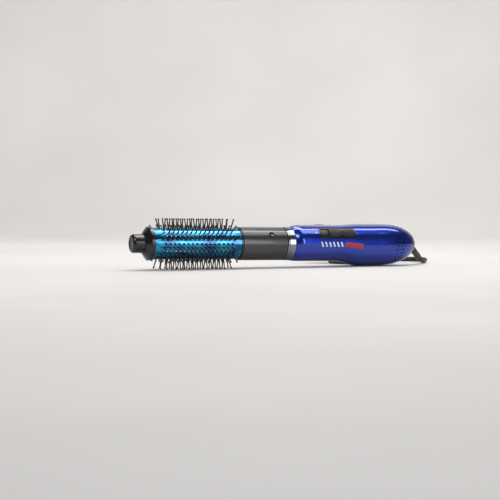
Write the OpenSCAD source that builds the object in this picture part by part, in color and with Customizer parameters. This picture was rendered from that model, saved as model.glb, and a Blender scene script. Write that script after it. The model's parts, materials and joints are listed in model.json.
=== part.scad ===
// Hot air brush: a pull-off round brush head on a blower handle with a swivel cord.
// Each piece is drawn on the brush's own axis, +X from the tip to the cord and +Z
// towards the switch. laid() then rolls and tilts it to lie on its bristles and belly.
// Millimetres.

/* [Brush head] */
// Outside diameter of the metal barrel
barrel_d = 32; // [26:0.5:40]
// Length of the metal barrel
barrel_len = 94; // [75:1:120]
// Wall of the metal barrel
barrel_wall = 0.8; // [0.6:0.1:1]
// How far the bristle tips stand off the barrel
bristle_out = 10.5; // [8:0.5:14]
// Diameter of a bristle at its root
bristle_d = 1.5; // [1.1:0.1:1.8]
// Spacing of the bristles along a strip
bristle_pitch = 4.8; // [4.6:0.1:8]
// Diameter of the air holes in the barrel
air_hole_d = 2.4; // [1.6:0.1:3]
// Diameter of the cool tip
tip_d = 19; // [15:0.5:23]
// Length of the cool tip in front of the cap
tip_len = 12.3; // [10:0.1:16]
// Length of the front cap
cap_len = 8; // [6.5:0.5:10]

/* [Collar] */
// Length of the collar
collar_len = 49.7; // [40:0.1:62]
// Wall of the collar
collar_wall = 1.8; // [1.4:0.1:2.2]
// Diameter of the release button
release_d = 5.8; // [4.8:0.1:7]
// How far the release button can be pressed
release_travel = 0.8; // [0.5:0.1:1]

/* [Handle] */
// Length of the bright trim ring
ring_len = 8.5; // [7:0.1:11]
// Length of the straight grip behind the trim ring
grip_len = 51.6; // [50:0.1:64]
// How far the handle stands out from the collar
flare_step = 1.9; // [1.5:0.1:2.5]
// How much larger the belly's radius is than the grip's
belly_rise = 3.4; // [2.8:0.1:4.2]
// Wall of the handle shells
shell_wall = 2.2; // [1.8:0.1:2.7]
// Diameter of one air intake hole
intake_hole_d = 1.7; // [1.2:0.1:2.1]

/* [Switch] */
// Length of the switch panel
panel_len = 42.4; // [36:0.1:46]
// Width of the switch panel
panel_w = 13; // [11:0.1:15.6]
// Length of the sliding knob
knob_len = 30; // [25:0.1:31]
// Travel of the sliding knob over its two steps
knob_travel = 8.2; // [6:0.1:8.4]

/* [Air and heat] */
// Diameter of the motor
motor_d = 23; // [19:0.5:24]
// Length of the motor
motor_len = 24; // [20:0.5:29]
// Diameter of the motor shaft
shaft_d = 2; // [1.6:0.1:2.4]
// Number of fan blades
blades = 7; // [5:1:9]

/* [Cord] */
// Diameter of the cord
cord_d = 5.6; // [5.2:0.1:6]
// Length of the strain relief from the swivel ball
boot_len = 30; // [24:1:32]
// Diameter of the strain relief at the swivel ball
boot_d = 7; // [6.4:0.1:7.2]
// Diameter of a plug pin
plug_pin_d = 4.8; // [4:0.1:5]
// Distance between the plug pins
plug_pin_gap = 19; // [17:0.1:20]

/* [Hidden] */
$fn = 64;

// Clearances: between pieces that slide or turn, and between pieces that are seated.
slide_gap = 0.35;
seat_gap = 0.05;
thin = 0.01;
strips = 12;
strip_angle = 360 / strips;

// How the brush lies: the switch looks 35 degrees above the horizontal.
roll = 55;

// Stations along the axis, from the tip's end.
x_cap = tip_len;
x_barrel = x_cap + cap_len;
x_lip = x_barrel + barrel_len;
lip_w = 1.5;
x_collar = x_lip + lip_w;
x_groove = x_collar + collar_len;
x_ring = x_groove + 0.5;
x_shell = x_ring + ring_len;

// Radii of the head, from the barrel outwards and inwards.
r_barrel = barrel_d / 2;
r_bore = r_barrel - barrel_wall;
r_cap = r_barrel + 1;
r_lip = r_barrel + 0.9;
r_collar = r_barrel + 1.2;
r_socket = r_collar - collar_wall;
r_spigot = r_socket - slide_gap;
spigot_wall = 1.3;
r_liner = r_spigot - spigot_wall - 0.25;
liner_wall = 0.5;
r_boards = r_liner - liner_wall - 0.4;

// Bristles: the first and last of a strip lean outwards.
ball_r = 0.95;
r_tips = r_barrel + bristle_out - ball_r;
smooth_band = 8.5;
strip_len = barrel_len - 2 * smooth_band;
per_strip = floor(strip_len / bristle_pitch) + 1;
x_first = x_barrel + (barrel_len - (per_strip - 1) * bristle_pitch) / 2;
lean = 12;
rail_w = 3;
rail_end = 7;
r_rail = r_bore - 0.15;
rail_h = 1.6;

// Handle outline: round sections of radius hr(x) centred hc(x) towards the switch.
r_trim = r_collar + 0.35;
r_grip = r_collar + flare_step;
r_belly = r_grip + belly_rise;
flare_len = 8.5;
off_grip = 1.3;
off_belly = off_grip - belly_rise;
x_rise = x_shell + grip_len;
rise_len = 31;
x_dome = x_rise + rise_len + 11;
dome_len = 56;
x_rear = x_dome + 0.864 * dome_len;
function clamp(t) = max(0, min(1, t));
function ease(t) = clamp(t) * clamp(t) * (3 - 2 * clamp(t));
function flare(x) = 1 - pow(1 - clamp((x - x_shell) / flare_len), 2);
function dome(x) = sqrt(1 - pow(clamp((x - x_dome) / dome_len), 3));
function hr(x) = (r_trim + (r_grip - r_trim) * flare(x)
    + belly_rise * ease((x - x_rise) / rise_len)) * dome(x);
function hc(x) = (off_grip * flare(x) + (off_belly - off_grip) * ease((x - x_rise) / rise_len))
    * (1 - ease((x - x_dome) / (0.85 * dome_len)));
handle_x = concat(
    [for (i = [0 : 4]) x_shell + flare_len * i / 4],
    [for (i = [0 : 7]) x_rise + rise_len * i / 7],
    [for (i = [0 : 9]) x_dome + (x_rear - x_dome) * pow(i / 9, 0.8)]
);
z_switch_top = r_grip + off_grip;

// Lying pose: lowest bristle tips and belly both touch the ground.
bristle_drop = r_tips * cos(strip_angle / 2) + ball_r;
belly_drop = r_belly - off_belly * cos(roll);
x_bristle_rest = x_first + (per_strip - 1) * bristle_pitch;
tilt = asin((bristle_drop - belly_drop) / (x_dome - x_bristle_rest));
axis_height = bristle_drop + x_bristle_rest * sin(tilt);

// Swivel: the strain relief leaves the ball downwards and away from the switch side.
ball_joint_r = 7;
x_ball = x_rear + 2.1;
boot_down = 24.4;
boot_aside = 40;
boot_end = ball_joint_r + boot_len;
boot_tip_d = cord_d + 1.2;
x_boot_end = x_ball + boot_end * cos(boot_down) * cos(boot_aside);
x_mid = (x_boot_end + boot_tip_d / 2 * 0.72) / 2;

// Blower and heater stations inside the handle.
x_liner_front = x_collar + 9;
x_liner_rear = x_shell + 31.6;
x_guide = x_liner_rear - 5;
x_housing = x_rise + 16;
x_motor = x_rise + 20;
x_fan = x_motor + motor_len + 4;
fan_len = 12;
x_housing_end = x_fan + fan_len + 3;
r_guide = r_liner + seat_gap;
r_housing = r_grip - shell_wall - off_grip + 0.4;
housing_wall = 1;
r_motor = motor_d / 2;
r_blades = r_housing - housing_wall - 0.7;

// Switch stations. The knob rests at the rear of its track, which is off.
x_panel = x_shell + 27.3;
x_track = x_panel + 1.3;
x_knob = x_panel + panel_len - 1.3 - 0.3 - knob_len;
knob_w = panel_w - 3.2;
stem_w = 3.6;
stem_len = 9;
x_stem = x_knob + 10.3;
x_lens = x_panel - 4.1;
// Release button and its boss, which runs in the spigot's open keyway.
x_release = x_collar + 32.1;
boss_w = 7.4;
boss_len = 10;
boss_drop = 1.5;
release_proud = 0.7;
z_spring = r_socket - boss_drop + 1;
z_button = z_spring + release_travel + 0.4;

// Cord route on the ground, in the lying frame, chosen by hand.
coil_x = 120;
coil_y = 62;
coil_lift = 0.6;
turns_across = 3;
layers = 3;
coil_mean_r = 28;
coil_out_r = coil_mean_r + turns_across * cord_d / 2;
coil_in_r = coil_mean_r - turns_across * cord_d / 2;
coil_h = layers * cord_d;
lead_z = cord_d / 2 + coil_lift;
lead_route = [
    [176.2, 26.2, 5.1], [181.4, 30.4, 3.8], [186.4, 35, 3.4], [190.4, 40.6, 3.4], [192.4, 47.2, 3.4],
    [192.2, 54.2, 3.4], [189.8, 61.2, 3.4], [185.6, 68, 3.4], [180, 74.6, 3.4], [173, 80.8, 3.4],
    [165, 86.2, 3.4], [155.4, 90.6, 3.4], [144.6, 93.8, 3.4], [132.6, 95.4, 3.4], [120, 95.6, 3.4]
];
tail_route = [
    [97.6, 62, 14.6], [98.2, 56.6, 14.7], [101, 49.8, 15.2], [106, 44, 16.4], [112.8, 40, 18.2],
    [120, 38.6, 20.2], [128, 39.8, 22.4], [135, 43.6, 24.4], [140, 49.4, 26.2], [142.6, 56, 27.6],
    [143, 63, 28.8], [141.2, 70, 29.6], [137.4, 76.4, 30.2], [131.8, 81.4, 30.5],
    [125, 84.2, 30.5], [118, 85, 30.5]
];
plug_at = [118, 85, 30.5];
plug_relief_len = 10;
plug_len = 32;
plug_w = 35.3;
plug_h = 26;
plug_pin_len = 19;
pin_step = 0.5;

// Puts a piece drawn on the brush's axis where it lies; unrolled() keeps "down" downwards.
module unrolled() {
    translate([-x_mid, 0, axis_height]) rotate([0, tilt, 0]) children();
}
module laid() {
    unrolled() rotate([roll, 0, 0]) children();
}
// Turns an outline of [radius, x] points round the axis.
module turned(outline) {
    rotate([0, 90, 0]) rotate([0, 0, 90]) rotate_extrude() polygon(outline);
}
module rod(x0, x1, r) {
    translate([x0, 0, 0]) rotate([0, 90, 0]) cylinder(h = x1 - x0, r = r);
}
module tube(x0, x1, outer, inner) {
    turned([[inner, x0], [outer, x0], [outer, x1], [inner, x1]]);
}
// A box from x0 to x1, centred across the axis, from z0 to z1.
module slab(x0, x1, w, z0, z1) {
    translate([x0, -w / 2, z0]) cube([x1 - x0, w, z1 - z0]);
}
// Points of an arc in [radius, x] outlines.
function arc(r, x, size, a0, a1, n = 6) =
    [for (i = [0 : n]) [r + size * cos(a0 + (a1 - a0) * i / n), x + size * sin(a0 + (a1 - a0) * i / n)]];

// A solid through rings of points, each ring going the same way round.
module lofted(rings, sides) {
    last = len(rings) - sides;
    walls = [for (i = [0 : sides : last - sides], k = [0 : sides - 1])
        let (a = i + k, b = i + (k + 1) % sides) [a, a + sides, b + sides, b]];
    polyhedron(rings, concat(
        walls,
        [[for (k = [0 : sides - 1]) k]],
        [[for (k = [sides - 1 : -1 : 0]) last + k]]
    ), convexity = 8);
}

// A round tube swept along points: one ring of vertices per point, carried on without twist.
function unit(v) = v / norm(v);
function along(p, i) = unit(p[min(i + 1, len(p) - 1)] - p[max(i - 1, 0)]);
function square_to(t, v) = unit(v - (v * t) * t);
module swept(p, r, sides = 8) {
    side_ways = [for (
        i = 0, u = square_to(along(p, 0), [0.1, 0.3, 1]);
        i < len(p);
        i = i + 1, u = i < len(p) ? square_to(along(p, i), u) : u
    ) u];
    rings = [for (i = [0 : len(p) - 1]) let (u = side_ways[i], v = cross(along(p, i), u))
        for (k = [0 : sides - 1]) p[i] + r * (cos(360 * k / sides) * u + sin(360 * k / sides) * v)];
    lofted(rings, sides);
}

module cool_tip() {
    stem_r = tip_d / 4;
    edge = 2.6;
    neck_r = tip_d / 2 - 0.3;
    laid() color("#101012") difference() {
        turned(concat(
            [[0, 0.5], [tip_d * 0.27, 0.5], [tip_d * 0.29, 0], [tip_d / 2 - edge, 0]],
            arc(tip_d / 2 - edge, edge, edge, -75, 0),
            [[tip_d / 2, x_cap - 0.6], [neck_r, x_cap - 0.6], [neck_r, x_cap + 2.6]],
            [[stem_r, x_cap + 2.6], [stem_r, x_cap + 5.1], [0, x_cap + 5.1]]
        ));
        rod(x_cap - 3, x_cap + 6, 1.5);
    }
}

module tip_screw() {
    laid() color("silver") {
        rod(x_cap - 2.5, x_cap + 5.2, 1.45);
        tube(x_cap + 5.2 + seat_gap, x_cap + 6.2, tip_d / 4 + 2.2, 1.45);
        difference() {
            rod(x_cap + 5.2, x_cap + 8.2, 2.8);
            slab(x_cap + 7.4, x_cap + 8.4, 0.8, -3, 3);
            rotate([90, 0, 0]) slab(x_cap + 7.4, x_cap + 8.4, 0.8, -3, 3);
        }
    }
}

module front_cap() {
    mouth = tip_d / 2 + 0.1;
    cone = 4.8;
    laid() color("#141416") difference() {
        turned([
            [mouth, x_cap], [mouth + 0.8, x_cap], [r_cap, x_cap + cone], [r_cap, x_barrel],
            [r_bore - seat_gap, x_barrel], [r_bore - seat_gap, x_barrel + 6.7],
            [r_bore - 1.6, x_barrel + 6.7], [r_bore - 1.6, x_cap + 5.2],
            [tip_d / 4 + 0.1, x_cap + 5.2], [tip_d / 4 + 0.1, x_cap + 2.7], [mouth, x_cap + 2.7]
        ]);
        for (a = [0 : 15 : 345])
            rotate([a, 0, 0]) translate([x_cap + 1.2, 0, mouth + 2.2])
                rotate([0, -35, 0]) cube([3.6, 0.7, 0.7], center = true);
    }
}

// Places its children at every bristle of a strip; odd strips are half a pitch further on.
module at_bristles(k) {
    for (i = [0 : per_strip - 1 - k % 2])
        translate([x_first + bristle_pitch * (i + (k % 2) / 2), 0, r_bore - 1])
            rotate([0, (i == 0 ? -lean : i == per_strip - 1 - k % 2 ? lean : 0), 0]) children();
}

module at_strip(k) {
    rotate([strip_angle * (k + 0.5) - roll, 0, 0]) children();
}

module barrel() {
    holes = per_strip - 1;
    laid() color("#1f74b8") difference() {
        tube(x_barrel, x_lip, r_barrel, r_bore);
        for (k = [0 : strips - 1]) {
            at_strip(k) at_bristles(k) cylinder(h = 5, d = bristle_d + 0.4, $fn = 16);
            at_strip(k + 0.5) for (i = [0 : holes - 1])
                translate([x_first + bristle_pitch * (i + 0.5 + (k % 2) / 2), 0, r_bore - 1])
                    cylinder(h = 5, d = air_hole_d, $fn = 16);
        }
    }
}

module barrel_lip() {
    laid() color("#101012")
        turned([
            [r_bore - 0.2, x_lip], [r_lip - 0.4, x_lip], [r_lip, x_lip + 0.4],
            [r_lip, x_collar - 0.3], [r_lip - 0.3, x_collar], [r_bore - 0.2, x_collar]
        ]);
}

// Strip k: a rail behind the barrel with a row of ball-tipped bristles through it.
module bristle_strip(k) {
    up = r_tips - r_bore + 1;
    laid() color("#151517") at_strip(k) {
        slab(x_barrel + rail_end, x_lip - rail_end, rail_w, r_rail - rail_h, r_rail);
        at_bristles(k) {
            cylinder(h = up, d1 = bristle_d, d2 = bristle_d * 0.7, $fn = 16);
            translate([0, 0, up]) sphere(r = ball_r, $fn = 20);
        }
    }
}

module collar() {
    laid() color("#3a3b3f") difference() {
        union() {
            turned([
                [r_bore - 1.8, x_lip - 6.5], [r_bore - 0.25, x_lip - 6.5], [r_bore - 0.25, x_collar],
                [r_collar - 0.4, x_collar], [r_collar, x_collar + 0.4], [r_collar, x_groove - 0.4],
                [r_collar - 0.4, x_groove], [r_socket, x_groove], [r_socket, x_collar + 4],
                [r_bore - 1.8, x_collar + 4]
            ]);
            slab(x_release - boss_len / 2, x_release + boss_len / 2, boss_w,
                r_socket - boss_drop, r_socket + 0.4);
        }
        translate([x_release, 0, z_spring]) cylinder(h = 9, d = release_d + 0.3);
        translate([x_release, 0, 0]) cylinder(h = r_collar, d = 2.6);
    }
}

module release_button() {
    top = r_collar + release_proud;
    laid() color("#0c0c0e") translate([x_release, 0, 0]) difference() {
        union() {
            translate([0, 0, z_button]) cylinder(h = top - 0.4 - z_button, d = release_d);
            translate([0, 0, top - 0.4]) cylinder(h = 0.4, d1 = release_d, d2 = release_d - 0.8);
            translate([0, 0, z_spring - 0.5]) cylinder(h = z_button - z_spring + 0.7, d = 2.3);
        }
        translate([0, 0, top + 6.6]) sphere(r = 7, $fn = 48);
    }
}

// A conical spring whose two turns nest as the button goes down.
module button_spring() {
    wire = 0.15;
    height = z_button - z_spring;
    laid() color("silver") translate([x_release, 0, z_spring])
        for (turn = [[2.4, seat_gap + wire], [1.8, height - seat_gap - wire]])
            rotate_extrude() translate(turn) circle(r = wire, $fn = 16);
}

module outlet_tube() {
    front = x_collar + 4.6;
    back = x_shell + 7.6;
    laid() color("#2a2b2e") difference() {
        union() {
            tube(front, back, r_spigot, r_spigot - spigot_wall);
            for (a = [90, 270])
                rotate([a, 0, 0]) slab(back - 2.6, back - 0.8, 7, r_spigot - 0.5, r_spigot + 1.2);
        }
        slab(front - 1, x_release + boss_len / 2 + 0.6, boss_w + 0.7, r_spigot - 4, r_spigot + 1);
    }
}

module outlet_grille() {
    front = x_collar + 5;
    rim = r_spigot - spigot_wall - seat_gap;
    laid() color("#1c1c1e") difference() {
        rod(front, front + 1.6, rim);
        for (k = [-2 : 2])
            translate([front + 0.8, 0, k * rim * 0.31])
                cube([4, 2 * rim * sqrt(1 - pow(abs(k) * 0.31 + 0.1, 2)) - 1.6, rim * 0.2], center = true);
    }
}

module trim_ring() {
    laid() color("#c9ccd2") difference() {
        turned([
            [r_spigot + seat_gap, x_ring], [r_collar - 0.3, x_ring], [r_collar + 0.05, x_ring + 0.35],
            [r_collar + 0.05, x_ring + 1.3], [r_collar - 0.25, x_ring + 1.5],
            [r_collar - 0.25, x_ring + 1.9], [r_collar + 0.15, x_ring + 2.2],
            [r_trim, x_shell - 0.3], [r_trim - 0.3, x_shell], [r_spigot + seat_gap, x_shell]
        ]);
    }
}

// The handle's outline set in by a wall, carried ahead of both ends.
module handle_solid(inset, ahead = 0) {
    sides = 48;
    last = len(handle_x) - 1;
    lofted([for (i = [0 : last], k = [0 : sides - 1])
        let (x = handle_x[i] + (i == 0 ? -ahead : i == last ? ahead : 0))
        let (r = hr(x) - inset, a = 360 * (k + 0.5) / sides)
            [x, -r * sin(a), hc(x) + r * cos(a)]], sides);
}

// Staggered air intake holes round the dome, a little wider at the skin.
intake_rows = 32;
intake_pitch = 4.3;
x_intake = x_dome + 24.5;
module intake_holes() {
    for (k = [0 : intake_rows - 1], i = [0 : 2])
        let (x = x_intake + intake_pitch * (i + (k % 2) / 2))
            translate([x, 0, hc(x)]) rotate([360 * (k + 0.5) / intake_rows, 0, 0])
                translate([0, 0, hr(x) - shell_wall - 3]) hull() {
                    cylinder(h = 1, d = intake_hole_d - 0.2, $fn = 8);
                    cylinder(h = shell_wall + 6, d = intake_hole_d, $fn = 8);
                }
}

// A hollow half of the handle with the rib that holds the outlet tube.
module half_shell(side) {
    difference() {
        union() {
            difference() {
                handle_solid(0);
                handle_solid(shell_wall, 1);
            }
            intersection() {
                handle_solid(shell_wall / 2);
                difference() {
                    rod(x_shell + 3.4, x_shell + 4.6, r_belly);
                    rod(x_shell, x_shell + 9, r_spigot + seat_gap);
                }
            }
        }
        translate([x_shell - 5, -50, side * seat_gap / 2 - (side > 0 ? 100 : 0)])
            cube([x_rear - x_shell + 10, 100, 100]);
        intake_holes();
    }
}

// Screw places along the underside, from the shell's front.
screw_x = [x_shell + 40, x_dome + 12];
module upper_shell() {
    laid() color("#1b2fc0") difference() {
        half_shell(1);
        slab(x_panel, x_panel + panel_len, panel_w, 5, 40);
        translate([x_lens, 0, 5]) cylinder(h = 40, r = 1.6, $fn = 24);
    }
}

module lower_shell() {
    laid() color("#1a2db5") difference() {
        half_shell(-1);
        for (x = screw_x)
            translate([x, 0, hc(x) - hr(x) - 1]) {
                cylinder(h = 1.9, r = 3.1, $fn = 24);
                cylinder(h = 10, r = 1.6, $fn = 24);
            }
    }
}

module shell_screws() {
    laid() color("silver") for (x = screw_x)
        translate([x, 0, hc(x) - hr(x) + 0.3]) difference() {
            union() {
                translate([0, 0, -0.3]) cylinder(h = 0.9, r = 2.8);
                cylinder(h = shell_wall + 0.9, r = 1.4);
            }
            translate([0, 0, -0.6]) cube([3.6, 0.7, 1], center = true);
            translate([0, 0, -0.6]) cube([0.7, 3.6, 1], center = true);
        }
}

module rear_cap() {
    steps = 6;
    x_lip_end = x_ball + 1.5;
    cap_in = hr(x_rear) - shell_wall;
    laid() color("#0e0e12") difference() {
        turned(concat(
            [[0, x_rear - 8], [cap_in - 0.1, x_rear - 8], [cap_in - 0.1, x_rear + 0.05]],
            [for (i = [0 : steps])
                let (x = x_rear + 0.05 + (x_lip_end - x_rear - 0.05) * i / steps) [hr(x), x]],
            [[0, x_lip_end]]
        ));
        translate([x_ball, 0, 0]) sphere(r = ball_joint_r + 0.2);
        rod(x_rear - 9, x_ball, 2.2);
    }
}

module intake_filter() {
    x0 = x_intake - 1;
    x1 = x_intake + 13;
    r0 = hr(x0) - shell_wall - abs(hc(x0)) - 0.8;
    r1 = hr(x1) - shell_wall - abs(hc(x1)) - 0.8;
    laid() color("#45474c") difference() {
        turned([[r0 - 0.8, x0], [r0, x0], [r1, x1], [r1 - 0.8, x1]]);
        for (a = [0 : 20 : 340])
            rotate([a + 10, 0, 0]) slab(x0 + 2, x1 - 2, 2.6, r1 - 3, r0 + 3);
    }
}

// A bent plate that follows the grip's skin, between two radii.
module skin(x0, x1, w, r0, r1) {
    intersection() {
        translate([0, 0, off_grip]) tube(x0, x1, r1, r0);
        slab(x0 - 1, x1 + 1, w, 5, 40);
    }
}

module switch_bezel() {
    edge = 0.15;
    laid() color("#0b0b0d") difference() {
        skin(x_panel + edge, x_panel + panel_len - edge, panel_w - 2 * edge,
            r_grip - shell_wall, r_grip + 0.25);
        skin(x_track, x_panel + panel_len - 1.3, knob_w + 0.5, r_grip - 0.55, r_grip + 2);
        slab(x_stem - knob_travel - 0.3, x_stem + stem_len + 0.3, stem_w + 0.6, 5, 40);
    }
}

module switch_slider() {
    grip = knob_len / 2;
    laid() color("#131316") difference() {
        union() {
            skin(x_knob, x_knob + knob_len, knob_w, r_grip - 0.3, r_grip + 1.2);
            slab(x_stem, x_stem + stem_len, stem_w, z_switch_top - 4.2, z_switch_top);
        }
        for (s = [-1, 1], i = [0 : 4])
            translate([x_knob + grip + s * (4.5 + 2.2 * i), 0, z_switch_top + 1.4])
                cube([1.1, knob_w + 2, 1.4], center = true);
        translate([x_knob + grip, 0, z_switch_top + 1.4])
            rotate([0, 0, 45]) cube([3.6, 3.6, 2], center = true);
    }
}

module switch_module() {
    x0 = x_stem - knob_travel - 1.4;
    x1 = x_stem + stem_len + 1.4;
    top = z_switch_top - 3.4;
    laid() color("#2b2b2e") difference() {
        slab(x0, x1, 9, r_guide + liner_wall + 0.6, top);
        slab(x_stem - knob_travel - 0.4, x_stem + stem_len + 0.4, stem_w + 0.6, top - 1.2, top + 1);
    }
}

module indicator_lens() {
    laid() color("#dfe6ff") translate([x_lens, 0, z_switch_top - shell_wall]) {
        cylinder(h = shell_wall, r = 1.5);
        translate([0, 0, shell_wall]) cylinder(h = 0.3, r1 = 1.5, r2 = 1);
    }
}

module heater_liner() {
    laid() color("#d8cda8") tube(x_liner_front, x_liner_rear, r_liner, r_liner - liner_wall);
}

heater_turns = 11;
x_boards = x_liner_front + 4;
boards_len = x_liner_rear - x_boards - 8;
module heater_frame() {
    winding = boards_len * 0.72;
    laid() color("#c9b98c") difference() {
        union() {
            slab(x_boards, x_boards + boards_len, 2 * r_boards, -0.3, 0.3);
            rotate([90, 0, 0]) slab(x_boards, x_boards + boards_len, 2 * r_boards, -0.3, 0.3);
        }
        for (a = [0 : 90 : 270], i = [0 : heater_turns])
            rotate([a, 0, 0])
                translate([x_boards + 5 + winding * (i + a / 360) / heater_turns, 0, r_boards - 0.6])
                    cube([2.4, 2, 2.6], center = true);
    }
}

module heater_coil() {
    winding = boards_len * 0.72;
    steps = heater_turns * 16;
    laid() color("#8d8378") swept([for (i = [0 : steps])
        let (a = 360 * heater_turns * i / steps)
            [x_boards + 5 + winding * i / steps, -(r_boards - 1) * sin(a), (r_boards - 1) * cos(a)]],
        0.75, 6);
}

module thermostat() {
    laid() color("#b9bcc2") translate([x_boards + boards_len - 7, 0, 0]) {
        translate([0, 0, 0.3 + seat_gap]) {
            translate([0, 5.5, 0]) cylinder(h = 2.4, r = 3.4);
            translate([0, 5.5, 2.4]) cylinder(h = 0.8, r = 2.6);
        }
    }
}

module thermal_fuse() {
    laid() color("#d9d9de") translate([x_boards + boards_len - 11, -5.5, 1.9]) {
        rod(0, 8, 1.4);
        rod(-3, 11, 0.4);
    }
}

module fan_housing() {
    vanes = 5;
    r_in = r_housing - housing_wall;
    sleeve_in = r_motor + seat_gap;
    laid() color("#26272b") {
        turned([
            [r_guide, x_guide], [r_guide + liner_wall, x_guide],
            [r_guide + liner_wall, x_rise + 4], [r_housing, x_housing],
            [r_housing, x_housing_end], [r_in, x_housing_end],
            [r_in, x_housing], [r_guide, x_rise + 4]
        ]);
        tube(x_motor + 3, x_motor + motor_len - 3, sleeve_in + 1, sleeve_in);
        for (k = [0 : vanes - 1])
            rotate([360 * (k + 0.5) / vanes, 0, 0])
                slab(x_motor + 5, x_motor + motor_len - 5, 1, sleeve_in + 0.5, r_in + 0.3);
    }
}

module motor() {
    x1 = x_motor + motor_len;
    laid() color("#9fa3aa") difference() {
        turned([
            [0, x_motor], [r_motor - 1, x_motor], [r_motor, x_motor + 1], [r_motor, x1 - 1],
            [r_motor - 1, x1], [3, x1], [3, x1 + 2], [0, x1 + 2]
        ]);
        rod(x1 - 10, x1 + 3, shaft_d / 2 + 0.05);
        for (a = [45 : 90 : 315])
            rotate([a, 0, 0]) translate([x_motor - 1, 0, r_motor - 4])
                rotate([0, 90, 0]) cylinder(h = 3, r = 1.2);
    }
}

module motor_shaft() {
    laid() color("silver") rod(x_motor + motor_len - 9, x_fan + fan_len - 1, shaft_d / 2);
}

module impeller() {
    hub_r = 6;
    laid() color("#3b3d42") difference() {
        union() {
            turned([
                [0, x_fan], [hub_r, x_fan], [hub_r, x_fan + fan_len - 4],
                [hub_r - 1.5, x_fan + fan_len - 1], [2, x_fan + fan_len], [0, x_fan + fan_len]
            ]);
            intersection() {
                tube(x_fan, x_fan + fan_len - 2, r_blades, hub_r - 0.5);
                for (k = [0 : blades - 1])
                    rotate([360 * k / blades, 0, 0]) translate([x_fan + fan_len / 2 - 1, 0, 0])
                        rotate([0, 0, 38]) translate([-7.5, -0.5, hub_r - 1]) cube([15, 1, r_blades]);
            }
        }
        rod(x_fan - 1, x_fan + fan_len - 1, shaft_d / 2);
    }
}

module rectifier_board() {
    x0 = x_motor - 4;
    laid() {
        color("#1d6b3a") difference() {
            rod(x0, x0 + 1.2, r_motor - 2.2);
            rod(x0 - 1, x0 + 2, 2);
        }
        color("#18181a") for (a = [45 : 90 : 315])
            rotate([a, 0, 0]) translate([x0 - 1.3, -2.2, r_motor * 0.5])
                rotate([-90, 0, 0]) cylinder(h = 4.4, r = 1.35);
        color("silver") for (s = [-1, 1])
            translate([0, s * 3, 0]) slab(x0 + 1.2, x_motor, 1.6, -0.3, 0.3);
    }
}

// Supply wires: from the cord's entry, along the belly, then round the air guide to the switch.
wire_r = 0.6;
module lead_wires() {
    r_way = r_guide + liner_wall + wire_r + 0.15;
    x_belly = x_dome - 2;
    low = r_housing + 2.6;
    for (s = [0, 1])
        laid() color(s == 0 ? "#7a4a2a" : "#2a5fa8") swept(concat(
            [for (p = [[x_rear - 8.6, -7], [x_rear - 12, -9], [x_rear - 17, -11.6], [x_rear - 22, -13.4],
                [x_rear - 24, -14.7], [x_rear - 26.1, -16.4], [x_rear - 28.6, -18.2], [x_rear - 32, -18.9],
                [x_belly - 4, -18.8], [x_belly - 16, -18.6], [x_rise + 17, -18], [x_rise + 11, -16.6],
                [x_rise + 6, -15.5]]) [p[0], 1.2 - 2.4 * s, p[1] * low / 18.6]],
            [for (i = [0 : 18]) let (a = -82 + 8 * i)
                [x_rise + 3 - 3 * s - i * 0.17, r_way * cos(a), r_way * sin(a)]]
        ), wire_r, 6);
}

module on_swivel() {
    unrolled() translate([x_ball, 0, 0]) rotate([0, 0, boot_aside]) rotate([0, boot_down, 0]) children();
}

boot_stem_r = 2.6;
module swivel_ball() {
    on_swivel() color("#0d0d0f") difference() {
        sphere(r = ball_joint_r);
        rod(1, ball_joint_r + 1, boot_stem_r + seat_gap);
    }
}

module cord_boot() {
    ribs = 10;
    step = (boot_len - 8) / ribs;
    r0 = boot_d / 2;
    r1 = boot_tip_d / 2;
    on_swivel() color("#0a0a0c") turned(concat(
        [[0, 1.2], [boot_stem_r, 1.2], [boot_stem_r, ball_joint_r + 0.1]],
        [[r0, ball_joint_r + 0.3], [r0, ball_joint_r + 4]],
        [for (i = [0 : ribs - 1]) let (x = ball_joint_r + 4 + step * i, r = r0 + (r1 - r0) * i / ribs)
            each [[r - 0.35, x + 0.4], [r - 0.35, x + step * 0.4], [r, x + step * 0.55], [r, x + step]]],
        [[r1, boot_end - 0.4], [r1 - 0.4, boot_end], [0, boot_end]]
    ));
}

// The boot's end in the lying frame, and the cord's first straight stretch from it.
function swing(d) = let (fx = x_ball + d * cos(boot_down) * cos(boot_aside),
        fy = d * cos(boot_down) * sin(boot_aside), fz = -d * sin(boot_down))
    [fx * cos(tilt) + fz * sin(tilt) - x_mid, fy, axis_height - fx * sin(tilt) + fz * cos(tilt)];
module cord_lead() {
    color("#0c0c0e") swept(concat([for (d = [0.2, 2.2]) swing(boot_end + d)], lead_route), cord_d / 2, 10);
}

module cord_tail() {
    color("#0c0c0e") swept(tail_route, cord_d / 2, 10);
}

module cord_coil() {
    soft = cord_d / 2;
    z1 = coil_lift + coil_h;
    color("#0c0c0e") translate([coil_x, coil_y, 0]) rotate_extrude() polygon(concat(
        arc(coil_out_r - soft, coil_lift + soft, soft, -90, 0, 4),
        arc(coil_out_r - soft, z1 - soft, soft, 0, 90, 4),
        arc(coil_in_r + soft, z1 - soft, soft, 90, 180, 4),
        arc(coil_in_r + soft, coil_lift + soft, soft, 180, 270, 4)
    ));
}

tie_at = 165;
module coil_tie() {
    w = 7;
    bend = 0.35;
    color("#1a1a1c") translate([coil_x, coil_y, 0]) rotate([0, 0, tie_at]) translate([coil_mean_r, w / 2, 0])
        rotate([90, 0, 0]) linear_extrude(w) difference() {
            translate([-coil_h / 2 - bend - 0.6, 0]) square([coil_h + bend + 1.2, coil_h + 1.2]);
            translate([-coil_h / 2 - bend, coil_lift - seat_gap])
                square([coil_h + bend + seat_gap, coil_h + 2 * seat_gap]);
        }
}

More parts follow.
